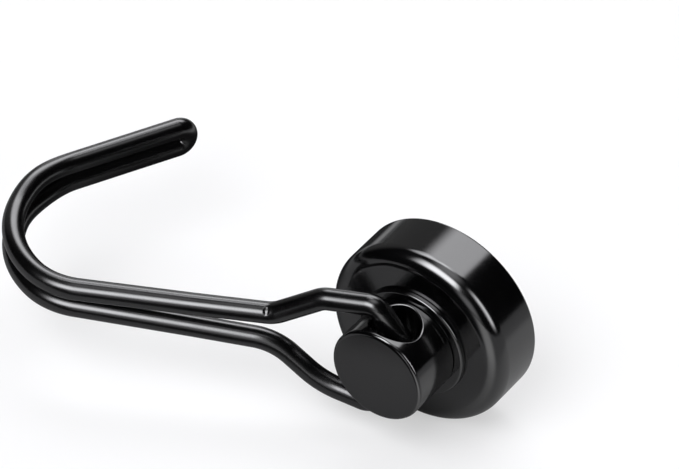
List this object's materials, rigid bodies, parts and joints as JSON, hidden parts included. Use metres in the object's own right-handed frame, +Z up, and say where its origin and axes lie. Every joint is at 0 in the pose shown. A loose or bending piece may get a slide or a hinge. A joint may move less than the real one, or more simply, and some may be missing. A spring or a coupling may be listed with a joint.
{
  "type": "magnetic hook",
  "caption": "Magnetic hook: a round cup magnet with a turning knob and a doubled wire hook that swings in the knob's cross-hole.",
  "frame": {"origin": "centre of the magnet's contact face", "axes": "+Y out of the contact face, towards the steel that it grips; the knob points to -Y along its own axis; +Z up as in the picture, with the wire hook lying towards -X"},
  "size_m": [0.0667, 0.0363, 0.025],
  "materials": {
    "coated_steel": "gloss black coating",
    "nickel_plate": "bright nickel plating",
    "zinc_plate": "zinc plating",
    "set_resin": "dull"
  },
  "bodies": {
    "base": {"steel_cup": "coated_steel", "disc_magnet": "nickel_plate", "resin_ring": "set_resin", "thrust_washer": "coated_steel"},
    "knob": {"swivel_knob": "coated_steel", "retaining_washer": "zinc_plate", "retaining_screw": "zinc_plate"},
    "hook": {"wire_hook": "coated_steel"}
  },
  "joints": [
    {"name": "knob_swivel", "type": "hinge", "parent": "base", "child": "knob", "pos_m": [0, -0.01234, 0], "axis": [0, -1, 0], "continuous": true},
    {"name": "hook_swing", "type": "hinge", "parent": "knob", "child": "hook", "pos_m": [0, -0.01234, 0], "axis": [0.0576, 0, 0.9983], "range_deg": [-28, 179]}
  ]
}
